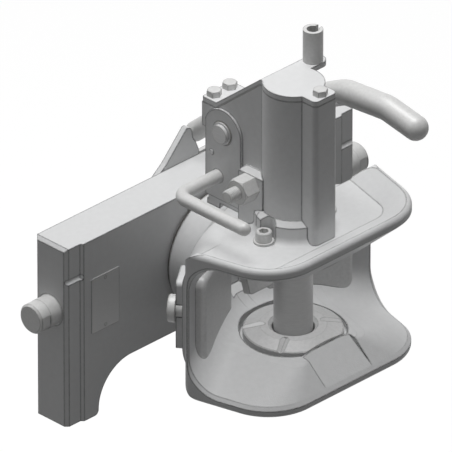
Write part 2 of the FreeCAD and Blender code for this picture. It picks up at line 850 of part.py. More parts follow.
def housing_plan(grow):
    """Plan of the housing: barrel round the coupling pin, nose in front and box behind."""
    half = housing_half_width + grow
    nose = nose_half_width + grow
    radius = housing_barrel_radius + grow
    nose_corners = [
        (-nose, -nose_reach - grow, nose_corner_radius), (nose, -nose_reach - grow, nose_corner_radius),
        (nose, 0, 0), (-nose, 0, 0)]
    rear_corners = [
        (-half, 0, 0), (half, 0, 0), (half, housing_rear_y + grow, housing_corner_radius),
        (-half, housing_rear_y + grow, housing_corner_radius)]
    return radius, [nose_corners, rear_corners]


def housing_solid(grow, z0, z1):
    radius, shapes = housing_plan(grow)
    parts = [round_z(radius, z0, z1, 0, 0)]
    for corners in shapes:
        parts.append(prism_z(corners, z0, z1))
    return join(parts)


def collar():
    """Collar on the deck round the barrel of the housing, with a filleted foot."""
    outer = collar_radius + collar_fillet
    corners = [
        (0, throat_ceiling + 10, 0), (outer + 6, throat_ceiling + 10, 0), (outer + 6, deck_height, 0),
        (collar_radius, deck_height, collar_fillet), (collar_radius, collar_top, 0),
        (housing_barrel_radius + 1, collar_chamfer_top, 0), (0, collar_chamfer_top, 0)]
    face = Part.Face(side_view(corners, 0))
    return face.revolve(Vector(0, 0, 0), Vector(0, 0, 1), 360)


def side_lugs():
    """Cast lugs and small ears on the deck, either side of the housing."""
    foot = throat_ceiling + 15
    lug = [
        (housing_half_width - 2, foot, 0), (lug_face, foot, 0), (lug_face, lug_top - lug_bevel, 0),
        (housing_half_width + 2, lug_top, 0), (housing_half_width - 2, lug_top, 0)]
    plate = prism_y(lug, lug_front_y, lug_rear_y)
    profile = [
        (lug_front_y, foot, 0), (lug_rear_y, foot, 0), (lug_rear_y, lug_top, 9), (lug_front_y, lug_top, 7)]
    plate = plate.common(prism_x(profile, 0, jaw_half_width))
    ear = [
        (housing_half_width - 2, foot, 0), (ear_face, foot, 0), (ear_face, ear_top - 3, 2),
        (ear_face - 4, ear_top, 2), (housing_half_width - 2, ear_top - 9, 0)]
    small = prism_y(ear, ear_front_y, ear_rear_y)
    right = plate.fuse(small)
    return [right, mirror_x(right)]


def trigger_slot():
    """Slot through the roof and down the rear of the mouth for the trigger finger."""
    half = trigger_half_width + 1.3
    return box(-half, half, slot_front_y, slot_rear_y, slot_floor, collar_top)


def wing_bolt_axis():
    """Start and direction of the right wing bolt, square to the jaw's rear wall."""
    turn = math.radians(wing_wall_angle)
    out = Vector(math.sin(turn), math.cos(turn), 0)
    start_x = jaw_half_width - wall_corner_radius * 0.3
    wall_y = wall_rear_y + (start_x - wing_bolt_x) * math.tan(turn)
    return Vector(wing_bolt_x, wall_y, 0), out


def jaw():
    """Casting with both lips, walls, hub, collar and lugs."""
    body = join([lip_frame(), rear_walls(), round_y(hub_radius, hub_front_y - 20, hub_rear, 0, 0)])
    body = body.cut(mouth_void())
    dish = lip_dish()
    body = body.cut(dish)
    body = body.cut(dish.mirror(Vector(0, 0, 0), Vector(0, 0, 1)))
    body = join([body, collar()] + side_lugs())
    seat_z = ring_floor
    ring_seat = round_z(ring_seat_radius, seat_z, throat_floor + 20, 0, 0)
    ring_seat = ring_seat.cut(box(-ring_seat_radius, ring_seat_radius, mouth_end_y,
                                  ramp_top_y - seat_gap, seat_z, 0))
    cuts = [
        ring_seat,
        round_z(ring_hole_radius, -rim_height, seat_z + 1, 0, 0),
        round_z(guide_flange_radius, throat_ceiling - 30, throat_ceiling + guide_flange_thickness, 0, 0),
        round_z(guide_bush_radius, throat_ceiling, deck_height + 1, 0, 0),
        trigger_slot(),
        round_y(spigot_radius, hub_rear - spigot_depth, hub_rear + 1, 0, 0)]
    foot = housing_solid(seat_gap, deck_height, lug_top + 5)
    cuts.append(foot)
    for side in (-1, 1):
        x = side * screw_x
        cuts.append(round_z(screw_radius + loose_fit, throat_ceiling, deck_height + 1, x, screw_y))
        cuts.append(round_z(screw_washer_radius + 1.0, deck_height, collar_chamfer_top, x, screw_y))
    start, out = wing_bolt_axis()
    hole = Part.makeCylinder(wing_bolt_radius, wing_bolt_reach + 40, start - out * wing_bolt_reach, out)
    cuts.append(hole)
    cuts.append(mirror_x(hole))
    stud_hole = round_x(lug_stud_radius + loose_fit, -2 * lug_face, 2 * lug_face, lug_stud_y, lug_stud_z)
    cuts.append(stud_hole)
    for cutter in cuts:
        body = body.cut(cutter)
    return body


def wear_ring():
    """Crowned ring that the drawbar eye rests on, with four grease notches and a front flat."""
    corners = [
        (ring_hole_radius, ring_floor, 0), (ring_radius, ring_floor, 0),
        (ring_radius, ring_shoulder - ring_edge_bevel, 0), (ring_radius - ring_edge_bevel, ring_shoulder, 0),
        (ring_crown_radius, ring_top, 0), (ring_hole_radius + ring_hole_bevel, ring_top, 0),
        (ring_hole_radius, ring_top - ring_hole_bevel, 0)]
    ring = Part.Face(side_view(corners, 0)).revolve(Vector(0, 0, 0), Vector(0, 0, 1), 360)
    sections = []
    for x, depth in ((notch_start, notch_start_depth), (ring_radius + 2, notch_end_depth)):
        half = (depth + 1) * math.tan(math.radians(notch_half_angle))
        corners = [(-half, ring_top + 1, 0), (0, ring_top - depth, 0), (half, ring_top + 1, 0)]
        sections.append(side_view(corners, x))
    notch = Part.makeLoft(sections, True, True)
    for angle in notch_angles:
        ring = ring.cut(notch.copy().rotate(Vector(0, 0, 0), Vector(0, 0, 1), angle))
    return ring.cut(box(-ring_radius, ring_radius, -ring_radius - 5, ramp_top_y, ring_floor - 1, ring_top + 1))


def guide_bush():
    """Bush that guides the coupling pin in the upper lip, with a screwed flange."""
    flange_top = throat_ceiling + guide_flange_thickness
    flange = round_z(guide_flange_radius, throat_ceiling, flange_top, 0, 0)
    sleeve = round_z(guide_bush_radius, flange_top, deck_height, 0, 0)
    bore = round_z(pin_radius + running_fit, throat_ceiling - 1, deck_height + 1, 0, 0)
    bush = flange.fuse(sleeve).cut(bore).cut(trigger_slot())
    for side in (-1, 1):
        bush = bush.cut(round_z(screw_radius, throat_ceiling, flange_top, side * screw_x, screw_y))
    return bush


def arm_reach_in_pin(y, side):
    """Highest (side 1) or lowest (side -1) place in the resting pin that the crank's arm sweeps at y."""
    swing = crank_top_angle - crank_rest_angle
    reached = []
    for step in range(43):
        share = step / 42
        angle = math.radians(crank_rest_angle + share * swing)
        middle = shaft_z + (shaft_y - y) * math.tan(angle)
        edge = middle + side * crank_arm_depth / 2 / math.cos(angle)
        reached.append(edge - share * pin_lift)
    return max(reached) if side > 0 else min(reached)


def coupling_pin():
    """Pin that carries the drawbar eye, with a window for the crank's tip and a slot for its arm."""
    foot = Part.makeCone(pin_radius - pin_chamfer, pin_radius, pin_chamfer, Vector(0, 0, pin_bottom))
    head_z = pin_top - pin_top_chamfer
    head = Part.makeCone(pin_radius, pin_radius - pin_top_chamfer, pin_top_chamfer, Vector(0, 0, head_z))
    pin = join([foot, round_z(pin_radius, pin_bottom + pin_chamfer, head_z, 0, 0), head])
    window = box(-window_half_width, window_half_width, -pin_radius - 1, pin_radius + 1,
                 window_low, window_high)
    half = crank_arm_half_width + arm_slot_play
    back = pin_radius + 1
    slot = prism_x([
        (arm_slot_front, window_low, 0), (back, arm_reach_in_pin(back, -1) - arm_slot_play, 0),
        (back, arm_reach_in_pin(back, 1) + arm_slot_play, 0), (arm_slot_front, window_high, 0)], -half, half)
    return pin.cut(window.fuse(slot))


def wing_shape(outer_x, inner_x, near, far, low, high, corner):
    """Plate parallel to the mouth's rear wall, between two distances in front of it."""
    turn = math.radians(mouth_wall_angle)
    start = Vector(jaw_half_width, wall_front_y, 0)
    along = Vector(-math.cos(turn), math.sin(turn), 0)
    front = Vector(-math.sin(turn), -math.cos(turn), 0)
    begin = (jaw_half_width - outer_x - near * math.sin(turn)) / math.cos(turn)
    end = (jaw_half_width - inner_x - near * math.sin(turn)) / math.cos(turn)

    def place(point):
        return start + along * point.x + Vector(0, 0, point.y) + front * near

    corners = [(begin, low, corner), (end, low, corner), (end, high, corner), (begin, high, corner)]
    return Part.Face(outline(corners, place)).extrude(front * (far - near))


def guide_wing(body):
    """Right guide wing, shaped to the mouth that it lies in."""
    wing = wing_shape(wing_outer_x, wing_inner_x, 0, wing_thickness, wing_bottom, wing_top, wing_edge_round * 2)
    front_edges = []
    turn = math.radians(mouth_wall_angle)
    front = Vector(-math.sin(turn), -math.cos(turn), 0)
    origin = Vector(jaw_half_width, wall_front_y, 0)
    for edge in wing.Edges:
        middle = edge.valueAt((edge.FirstParameter + edge.LastParameter) / 2)
        if abs((middle - origin).dot(front) - wing_thickness) < 1e-6:
            front_edges.append(edge)
    wing = wing.makeFillet(wing_edge_round, front_edges)
    start, out = wing_bolt_axis()
    thread = Part.makeCylinder(wing_bolt_radius, wing_bolt_reach + 40, start - out * wing_bolt_reach, out)
    return wing.cut(body).cut(thread)


def backing_plates():
    """Plates behind the jaw's rear walls that take the wing bolts."""
    start, out = wing_bolt_axis()
    along = Vector(-out.y, out.x, 0)
    centre_x = (backing_outer_x + backing_inner_x) / 2
    half = (backing_outer_x - backing_inner_x) / 2 / abs(along.x)
    middle = start + along * ((start.x - centre_x) / abs(along.x))

    def place(point):
        return middle + along * point.x + Vector(0, 0, point.y)

    corners = [
        (-half, backing_bottom, backing_corner), (half, backing_bottom, backing_corner),
        (half, backing_top, backing_corner), (-half, backing_top, backing_corner)]
    plate = Part.Face(outline(corners, place)).extrude(out * backing_thickness)
    plate = plate.cut(Part.makeCylinder(wing_bolt_radius, 40, start - out * 10, out))
    return Part.makeCompound([plate, mirror_x(plate)])


def wing_bolts():
    """Round-headed bolts through backing plate, jaw wall and guide wing."""
    start, out = wing_bolt_axis()
    seat = start + out * backing_thickness
    head = Part.makeCylinder(wing_bolt_head_radius, wing_bolt_head, seat, out)
    rim = []
    for edge in head.Edges:
        if (edge.CenterOfMass - seat).dot(out) > wing_bolt_head - 1e-6:
            rim.append(edge)
    head = head.makeFillet(2.5, rim)
    shank = Part.makeCylinder(wing_bolt_radius, backing_thickness + wing_bolt_reach,
                              start - out * wing_bolt_reach, out)
    bolt = head.fuse(shank)
    return Part.makeCompound([bolt, mirror_x(bolt)])


def top_profile(z_shift, rear_y):
    """Points (y, z) of the housing's top line from the nose to the rear, moved up by z_shift."""
    return [
        (-nose_reach - 10, housing_top + z_shift, 0), (slope_front_y, housing_top + z_shift, 0),
        (slope_rear_y, rear_top + z_shift, 0), (rear_y, rear_top + z_shift, 0)]


def housing():
    """Cast housing: guides the pin's upper end and carries the shafts; open at the top."""
    shell = housing_solid(0, deck_height, housing_top)
    rear_boss = box(-housing_half_width, housing_half_width, housing_rear_y - 5, rear_boss_y,
                    rear_top - rear_boss_drop, rear_top)
    skirt = box(-housing_half_width, housing_half_width, hub_front_y + 5, housing_rear_y,
                hub_radius * 0.8, deck_height)
    shell = join([shell, rear_boss, skirt])
    below_top = top_profile(0, rear_boss_y + 5) + [(rear_boss_y + 5, 0, 0), (-nose_reach - 10, 0, 0)]
    shell = shell.common(prism_x(below_top, -50, 50))
    arch_x = housing_half_width + arch_rise
    arch = round_x(arch_radius, -arch_x, arch_x, shaft_y, shaft_z)
    arch = arch.fuse(box(-arch_x, arch_x, shaft_y - arch_radius, shaft_y + arch_radius,
                         deck_height + 6, shaft_z))
    arch = arch.common(box(-arch_x, arch_x, lug_rear_y + 0.5, housing_rear_y, 0, housing_top))
    shell = join([shell, arch.common(prism_x(below_top, -50, 50))])
    inner = housing_half_width - housing_wall
    chamber = box(-inner, inner, chamber_front_y, chamber_rear_y, 0, housing_top + 1)
    keep = join([
        round_x(stud_boss_radius, -inner - 1, -stud_boss_face, lug_stud_y, lug_stud_z),
        round_x(stud_boss_radius, stud_boss_face, inner + 1, lug_stud_y, lug_stud_z)])
    shell = shell.cut(chamber.cut(keep))
    cuts = [
        round_z(pin_radius + loose_fit, 0, housing_top + 1, 0, 0),
        round_y(hub_radius + seat_gap, hub_front_y - 5, housing_rear_y + 20, 0, 0),
        round_x(bush_radius, -50, 50, shaft_y, shaft_z),
        round_x(handle_radius + running_fit, -50, 0, trigger_y, trigger_z),
        round_x(lug_stud_radius, -50, -stud_boss_face, lug_stud_y, lug_stud_z),
        round_x(lug_stud_radius, stud_boss_face, 50, lug_stud_y, lug_stud_z),
        round_x(stop_pin_radius, -50, -inner, stop_pin_y, stop_pin_z),
        round_z(cover_bolt_radius, housing_top - cover_bolt_length, housing_top, 0, front_bolt_y)]
    for side in (-1, 1):
        cuts.append(round_z(cover_bolt_radius, rear_top - cover_bolt_length, rear_top,
                            side * rear_bolt_x, rear_bolt_y))
    for cutter in cuts:
        shell = shell.cut(cutter)
    return shell


def cover_plate():
    """Bent plate on top of the housing, with a lug for the cable tube."""
    band = top_profile(0, rear_boss_y) + list(reversed(top_profile(cover_thickness, rear_boss_y)))
    band = [(y, z, 0) for y, z, _ in band]
    bent = prism_x(band, -2 * tube_x, 2 * tube_x)
    radius, shapes = housing_plan(0)
    low = rear_top - 5
    high = housing_top + cover_thickness + 5
    rear = [(-housing_half_width, 0, 0), (housing_half_width, 0, 0),
            (housing_half_width, rear_boss_y, 2), (-housing_half_width, rear_boss_y, 2)]
    lug = [
        (0, tube_y - cover_lug_radius + 3, 0), (tube_x + cover_lug_radius, tube_y - cover_lug_radius + 3, 9),
        (tube_x + cover_lug_radius, slope_front_y, 4), (0, slope_front_y, 0)]
    outlines = [shapes[0], rear, lug]
    pieces = [round_z(radius, low, high, 0, 0)]
    for corners in outlines:
        pieces.append(prism_z(corners, low, high))
    cover = bent.common(join(pieces))
    top = housing_top + cover_thickness
    cuts = [
        round_z(cover_bolt_radius + loose_fit, housing_top - 1, top + 1, 0, front_bolt_y),
        round_z(tube_bore, housing_top - 1, top + 1, tube_x, tube_y)]
    for side in (-1, 1):
        cuts.append(round_z(cover_bolt_radius + loose_fit, rear_top - 1, rear_top + cover_thickness + 1,
                            side * rear_bolt_x, rear_bolt_y))
    return cover.cut(Part.makeCompound(cuts))


def hexagon_bolt(x, y, seat):
    """Bolt that stands on seat, with a chamfered hexagon head."""
    head = prism_z(hexagon(cover_bolt_flats, (x, y), 30), seat, seat + cover_bolt_head)
    cone = Part.makeCone(cover_bolt_flats / 2 + cover_bolt_head, cover_bolt_flats / 2 - 0.4,
                         cover_bolt_head + 0.4, Vector(x, y, seat), Vector(0, 0, 1))
    shank = round_z(cover_bolt_radius, seat - cover_thickness - cover_bolt_length, seat, x, y)
    return head.common(cone).fuse(shank)


def cover_bolts():
    top = housing_top + cover_thickness
    rear = rear_top + cover_thickness
    bolts = [hexagon_bolt(0, front_bolt_y, top)]
    for side in (-1, 1):
        bolts.append(hexagon_bolt(side * rear_bolt_x, rear_bolt_y, rear))
    return Part.makeCompound(bolts)


def cable_tube():
    """Slotted tube that holds the end of a remote-control cable."""
    foot = housing_top + cover_thickness
    tube = ring_z(tube_radius, tube_bore, foot, foot + tube_height, tube_x, tube_y)
    slot = box(tube_x, tube_x + tube_radius + 1, tube_y - tube_slot / 2, tube_y + tube_slot / 2,
               foot - 1, foot + tube_height + 1)
    return tube.cut(slot)


def shaft_bushes():
    """Flanged bushes of the lever shaft in both housing walls."""
    inner = housing_half_width - housing_wall
    outer = housing_half_width + arch_rise
    bush = round_x(bush_radius, inner, outer, shaft_y, shaft_z)
    bush = bush.cut(round_x(shaft_radius + running_fit, inner, outer, shaft_y, shaft_z))
    return Part.makeCompound([bush, mirror_x(bush)])


def lever_shaft():
    return round_x(shaft_radius, shaft_left_x, shaft_right_x, shaft_y, shaft_z)


def snap_ring():
    """Ring in a groove at the left end of the lever shaft."""
    outer = housing_half_width + arch_rise + loose_fit
    ring = round_x(snap_ring_radius, -outer - snap_ring_thickness, -outer, shaft_y, shaft_z)
    return ring.cut(round_x(shaft_radius, -outer - snap_ring_thickness, -outer, shaft_y, shaft_z))


def crank():
    """Arm on the lever shaft whose round tip lifts the coupling pin."""
    half = crank_arm_half_width
    tip_half = crank_tip_half_width
    hub_half = housing_half_width - housing_wall - 0.5
    hub = round_x(crank_hub_radius, -hub_half, hub_half, shaft_y, shaft_z)
    tip = round_x(crank_tip_radius, -tip_half, tip_half, crank_tip_y, crank_tip_z)
    arm = box(-half, half, shaft_y - crank_reach, shaft_y, shaft_z - crank_arm_depth / 2,
              shaft_z + crank_arm_depth / 2)
    arm = arm.rotate(Vector(0, shaft_y, shaft_z), Vector(1, 0, 0), -crank_rest_angle)
    shape = join([hub, tip, arm])
    return shape.cut(round_x(shaft_radius, -hub_half, hub_half, shaft_y, shaft_z))


def hand_lever():
    """Bent round bar with a domed end, welded to a hub on the shaft."""
    points = [
        Vector(lever_x, shaft_y, shaft_z), Vector(lever_x, elbow_y, elbow_z),
        Vector(lever_x, grip_bend_y, grip_bend_z), Vector(lever_x, grip_tip_y, grip_tip_z)]
    rod = bar(points, lever_radius, lever_bend_radius)
    tip = Part.makeSphere(lever_radius, points[-1])
    hub = round_x(lever_hub_radius, lever_x - lever_hub_half_length, lever_x + lever_hub_half_length,
                  shaft_y, shaft_z)
    lever = join([rod, tip, hub])
    return lever.cut(round_x(shaft_radius, 0, 2 * lever_x, shaft_y, shaft_z))


def torsion_spring(lever):
    """Coils round the lever shaft, drawn as rings that touch, and the long end that hooks into the hand lever."""
    inner = torsion_radius - torsion_wire
    outer = torsion_radius + torsion_wire
    profile = [(torsion_start_x, inner, 0)]
    for turn in range(torsion_turns):
        left = torsion_start_x + turn * torsion_pitch
        profile.append((left, torsion_radius + torsion_wire * 0.45, 0))
        profile.append((left + torsion_pitch * 0.25, outer, 0))
        profile.append((left + torsion_pitch * 0.75, outer, 0))
    end_x = torsion_start_x + torsion_turns * torsion_pitch
    profile.append((end_x, torsion_radius + torsion_wire * 0.45, 0))
    profile.append((end_x, inner, 0))
    wire = outline(profile, lambda point: Vector(point.x, shaft_y, shaft_z + point.y))
    coil = Part.Face(wire).revolve(Vector(0, shaft_y, shaft_z), Vector(1, 0, 0), 360)
    leg_x = end_x - torsion_pitch / 2
    leg = bar([
        Vector(leg_x, shaft_y, shaft_z + torsion_radius - 0.5), Vector(leg_x, hook_y, hook_z),
        Vector(lever_x - 2, hook_y - 4, hook_z + 1)], torsion_wire, 4)
    return coil.fuse(leg).cut(lever)


def closing_handle():
    """L-shaped round bar: its short leg is the trigger shaft, its long leg the hand grip."""
    points = [
        Vector(trigger_half_width, trigger_y, trigger_z), Vector(handle_side_x, trigger_y, trigger_z),
        Vector(handle_side_x, handle_end_y, trigger_z)]
    rod = bar(points, handle_radius, handle_bend_radius)
    return rod.fuse(Part.makeSphere(handle_radius, points[-1])).removeSplitter()


def trigger_finger():
    """Finger on the trigger shaft that the drawbar eye pushes back to drop the pin."""
    half = trigger_half_width
    hub = round_x(trigger_hub_radius, -half, half, trigger_y, trigger_z)
    lean = math.atan2(trigger_y - finger_tip_y, trigger_z - finger_tip_z)
    length = math.hypot(trigger_y - finger_tip_y, trigger_z - finger_tip_z)
    shank = box(-half, half, trigger_y - finger_thickness / 2, trigger_y + finger_thickness / 2,
                trigger_z - length, trigger_z)
    blade_top = length - (finger_blade_top - finger_tip_z)
    blade_corners = [
        (-finger_tip_half_width, trigger_z - length, 3), (finger_tip_half_width, trigger_z - length, 3),
        (finger_tip_half_width, trigger_z - blade_top, 4), (-finger_tip_half_width, trigger_z - blade_top, 4)]
    blade = prism_y(blade_corners, trigger_y - finger_thickness / 2, trigger_y + finger_thickness / 2)
    finger = join([shank, blade])
    finger = finger.rotate(Vector(0, trigger_y, trigger_z), Vector(1, 0, 0), -math.degrees(lean))
    shape = join([hub, finger])
    return shape.cut(round_x(handle_radius, -half, half, trigger_y, trigger_z))


def stop_pin():
    inner = housing_half_width - housing_wall
    outer = housing_half_width + arch_rise + 1.0
    return round_x(stop_pin_radius, -outer, -inner, stop_pin_y, stop_pin_z)


def lug_studs():
    stud = round_x(lug_stud_radius, stud_boss_face, lug_stud_end, lug_stud_y, lug_stud_z)
    edges = []
    for edge in stud.Edges:
        if edge.CenterOfMass.x > lug_stud_end - 1e-6:
            edges.append(edge)
    stud = stud.makeChamfer(1.2, edges)
    return Part.makeCompound([stud, mirror_x(stud)])


def lug_nuts():
    """Hexagon nuts against the side lugs, chamfered on the outer face."""
    corners = hexagon(lug_nut_flats, (lug_stud_y, lug_stud_z), 0)
    body = prism_x(corners, lug_face, lug_face + lug_nut_height)
    cone = Part.makeCone(lug_nut_flats / 2 + lug_nut_height, lug_nut_flats / 2 - 0.5,
                         lug_nut_height + 0.5, Vector(lug_face, lug_stud_y, lug_stud_z), Vector(1, 0, 0))
    nut = body.common(cone).cut(round_x(lug_stud_radius, 0, 2 * lug_face + 50, lug_stud_y, lug_stud_z))
    return Part.makeCompound([nut, mirror_x(nut)])


def socket_screws():
    """Socket-head screws that hold the flange of the guide bush from above."""
    seat = deck_height + screw_washer_thickness
    shank = round_z(screw_radius, throat_ceiling, seat, screw_x, screw_y)
    head = round_z(screw_head_radius, seat, seat + screw_head_height, screw_x, screw_y)
    rim = []
    for edge in head.Edges:
        if edge.CenterOfMass.z > seat + screw_head_height - 1e-6:
            rim.append(edge)
    head = head.makeChamfer(0.9, rim)
    socket = prism_z(hexagon(screw_hex_flats, (screw_x, screw_y), 0), seat + screw_head_height / 2,
                     seat + screw_head_height + 1)
    screw = head.fuse(shank).cut(socket)
    return Part.makeCompound([screw, mirror_x(screw)])


def screw_washers():
    washer = ring_z(screw_washer_radius, screw_radius + loose_fit, deck_height,
                    deck_height + screw_washer_thickness, screw_x, screw_y)
    return Part.makeCompound([washer, mirror_x(washer)])


def build():
    """Every piece by the name of its node."""
    jaw_body = jaw()
    lever = hand_lever()
    wing = guide_wing(jaw_body)
    return {
        "slide_plate": slide_plate(),
        "type_plate": type_plate(),
        "plate_rivets": plate_rivets(),
        "swivel_bush": swivel_bush(),
        "friction_ring": friction_ring(),
        "lever_retainer": lever_retainer(),
        "lock_pin_left": lock_pin(-1),
        "lock_pin_right": lock_pin(1),
        "lock_stud_left": lock_stud(-1),
        "lock_stud_right": lock_stud(1),
        "lock_spring_left": lock_spring(-1),
        "lock_spring_right": lock_spring(1),
        "link_bar_left": link_bar(-1),
        "link_bar_right": link_bar(1),
        "release_plate": release_plate(),
        "release_pegs": release_pegs(),
        "release_grip": grip_bar(),
        "jaw": jaw_body,
        "swivel_shaft": swivel_shaft(),
        "shaft_washer": shaft_washer(),
        "castle_nut": castle_nut(),
        "split_pin": split_pin(),
        "wear_ring": wear_ring(),
        "guide_bush": guide_bush(),
        "guide_wing_right": wing,
        "guide_wing_left": mirror_x(wing),
        "backing_plates": backing_plates(),
        "wing_bolts": wing_bolts(),
        "housing": housing(),
        "lug_studs": lug_studs(),
        "lug_nuts": lug_nuts(),
        "socket_screws": socket_screws(),
        "screw_washers": screw_washers(),
        "cover_plate": cover_plate(),
        "cover_bolts": cover_bolts(),
        "cable_tube": cable_tube(),
        "shaft_bushes": shaft_bushes(),
        "stop_pin": stop_pin(),
        "lever_shaft": lever_shaft(),
        "snap_ring": snap_ring(),
        "crank": crank(),
        "hand_lever": lever,
        "torsion_spring": torsion_spring(lever),
        "coupling_pin": coupling_pin(),
        "closing_handle": closing_handle(),
        "trigger_finger": trigger_finger(),
    }


os.makedirs("parts", exist_ok=True)
for node, shape in build().items():
    shape.exportStep(os.path.join("parts", node + ".step"))
    print(node, len(shape.Solids), "solids", round(shape.Volume / 1000, 1), "cm3")
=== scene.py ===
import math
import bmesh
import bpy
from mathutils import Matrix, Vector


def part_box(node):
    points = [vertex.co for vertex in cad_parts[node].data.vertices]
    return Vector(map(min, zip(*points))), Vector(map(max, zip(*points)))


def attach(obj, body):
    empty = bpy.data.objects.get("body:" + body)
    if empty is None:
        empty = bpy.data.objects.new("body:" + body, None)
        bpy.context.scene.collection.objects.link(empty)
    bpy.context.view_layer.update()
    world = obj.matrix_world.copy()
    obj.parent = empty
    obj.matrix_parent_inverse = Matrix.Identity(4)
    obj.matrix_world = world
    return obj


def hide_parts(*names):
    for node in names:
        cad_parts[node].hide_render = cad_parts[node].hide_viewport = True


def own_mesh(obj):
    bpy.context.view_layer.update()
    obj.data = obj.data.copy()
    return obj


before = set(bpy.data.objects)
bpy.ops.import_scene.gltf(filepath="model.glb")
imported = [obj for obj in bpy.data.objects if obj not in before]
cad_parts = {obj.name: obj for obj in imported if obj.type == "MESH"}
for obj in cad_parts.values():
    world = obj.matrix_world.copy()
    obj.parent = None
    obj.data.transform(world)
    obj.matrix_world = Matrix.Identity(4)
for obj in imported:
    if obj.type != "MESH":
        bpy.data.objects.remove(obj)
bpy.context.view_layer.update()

# %% [markdown]
# # A clevis hitch for a tractor
#
# The hitch slides in the rails of a hitch ladder behind a tractor. Its jaw takes the eye of a
# drawbar, a pin drops through the eye, and the whole jaw can swivel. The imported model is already
# in the scene, so this lesson gives it finishes, adds the springs and threads that are too
# fine for the solids, and then sets up light, floor and camera. All lengths are in metres.

# %% [markdown]
# ## A finish from nodes
#
# Paint on a casting is never one even colour. It lies in a skin with a fine orange-peel texture
# over the coarser skin of the sand mould, and on the edges it is thin, so that dark steel shows
# through. A bitmap could show that, but it would need unwrapping and would blur close up. Noise in
# object space needs neither, so every finish here is made of noise, and one helper makes them all.

# %% Helpers that place and link nodes
def add_node(tree, kind, **inputs):
    """A new node whose input sockets are set by name, with _ for a space."""
    node = tree.nodes.new(kind)
    for name, value in inputs.items():
        node.inputs[name.replace("_", " ")].default_value = value
    return node


def add_noise(tree, place, size, detail):
    """Noise whose clouds are about as large as size."""
    noise = add_node(tree, "ShaderNodeTexNoise", Scale=1 / size, Detail=detail)
    tree.links.new(place, noise.inputs["Vector"])
    return noise.outputs["Fac"]


def remap(tree, value, **limits):
    """A value carried over from one range to another."""
    change = add_node(tree, "ShaderNodeMapRange", **limits)
    tree.links.new(value, change.inputs["Value"])
    return change.outputs["Result"]


# %% [markdown]
# The edges come from Blender's Bevel node. It looks a millimetre or two around each point and
# bends the normal there, so that a sharp solid catches light as a real, slightly broken edge does.
# A Bevel modifier would do that with more faces, but it would change the solids. Where the bent
# normal differs from the true one there is an edge, and the wear goes there.

# %% The mask of the edges
flat_likeness = 0.9995
edge_likeness = 0.965
bevel_samples = 4


def edge_mask(tree, radius):
    """Bent normal of the rounded edges, and a mask that is 1 on them and 0 on open faces."""
    rounded = add_node(tree, "ShaderNodeBevel", Radius=radius)
    rounded.samples = bevel_samples
    surface = tree.nodes.new("ShaderNodeNewGeometry")
    likeness = tree.nodes.new("ShaderNodeVectorMath")
    likeness.operation = "DOT_PRODUCT"
    tree.links.new(rounded.outputs["Normal"], likeness.inputs[0])
    tree.links.new(surface.outputs["Normal"], likeness.inputs[1])
    mask = remap(tree, likeness.outputs["Value"], From_Min=flat_likeness, From_Max=edge_likeness)
    return rounded.outputs["Normal"], mask


# %% [markdown]
# Wear isn't even along an edge: it comes in chips. The mask is multiplied by a finer noise, so the
# dark line of bare steel grows and thins out as it does on a hitch that has been hit by drawbars.

# %% Colour that varies over the faces and is worn on the edges
chip_size = 1 / 420
least_wear = 0.75


def mottled_colour(tree, cloud, colour, mottle):
    """The colour, a share of mottle darker and lighter from cloud to cloud."""
    tint = tree.nodes.new("ShaderNodeValToRGB")
    darker, lighter = tint.color_ramp.elements
    darker.position = 0.3
    lighter.position = 0.7
    darker.color = [c * (1 - mottle) for c in colour] + [1]
    lighter.color = [min(1, c * (1 + mottle)) for c in colour] + [1]
    tree.links.new(cloud, tint.inputs["Fac"])
    return tint.outputs["Color"]


def worn_edges(tree, place, mask, paint, worn, worn_colour):
    """The paint, with the worn colour in chips along the edges."""
    chips = add_noise(tree, place, chip_size, 2)
    broken = remap(tree, chips, From_Min=0.3, From_Max=0.6, To_Min=worn * least_wear, To_Max=worn)
    share = tree.nodes.new("ShaderNodeMath")
    share.operation = "MULTIPLY"
    tree.links.new(mask, share.inputs[0])
    tree.links.new(broken, share.inputs[1])
    wear = tree.nodes.new("ShaderNodeMix")
    wear.data_type = "RGBA"
    wear.inputs["B"].default_value = (worn_colour, worn_colour, worn_colour, 1)
    tree.links.new(share.outputs["Value"], wear.inputs["Factor"])
    tree.links.new(paint, wear.inputs["A"])
    return wear.outputs["Result"]


# %% The helper that makes a finish
def make_finish(name, colour, roughness, metallic=0.0, gloss=0.3, mottle=0.06, mottle_size=0.012,
                skin=0.0, skin_size=0.0012, gloss_change=0.08, stretch=(1, 1, 1),
                worn=1.0, worn_colour=0.05, edge=0.0012):
    """A finish whose colour, gloss and relief vary by noise and whose edges are worn."""
    material = bpy.data.materials.new(name)
    material.use_nodes = True
    tree = material.node_tree
    shader = tree.nodes["Principled BSDF"]
    shader.inputs["Metallic"].default_value = metallic
    shader.inputs["Specular IOR Level"].default_value = gloss
    place = tree.nodes.new("ShaderNodeTexCoord").outputs["Object"]
    scale = add_node(tree, "ShaderNodeMapping", Scale=stretch)
    tree.links.new(place, scale.inputs["Vector"])
    drawn_out = scale.outputs["Vector"]

    cloud = add_noise(tree, drawn_out, mottle_size, 5)
    normal, mask = edge_mask(tree, edge)
    paint = mottled_colour(tree, cloud, colour, mottle)
    tree.links.new(worn_edges(tree, place, mask, paint, worn, worn_colour), shader.inputs["Base Color"])
    dullness = remap(tree, cloud, To_Min=roughness - gloss_change, To_Max=roughness + gloss_change)
    tree.links.new(dullness, shader.inputs["Roughness"])

    relief = add_node(tree, "ShaderNodeBump", Strength=skin, Distance=skin_size / 4)
    tree.links.new(add_noise(tree, drawn_out, skin_size, 3), relief.inputs["Height"])
    tree.links.new(normal, relief.inputs["Normal"])
    tree.links.new(relief.outputs["Normal"], shader.inputs["Normal"])
    return material

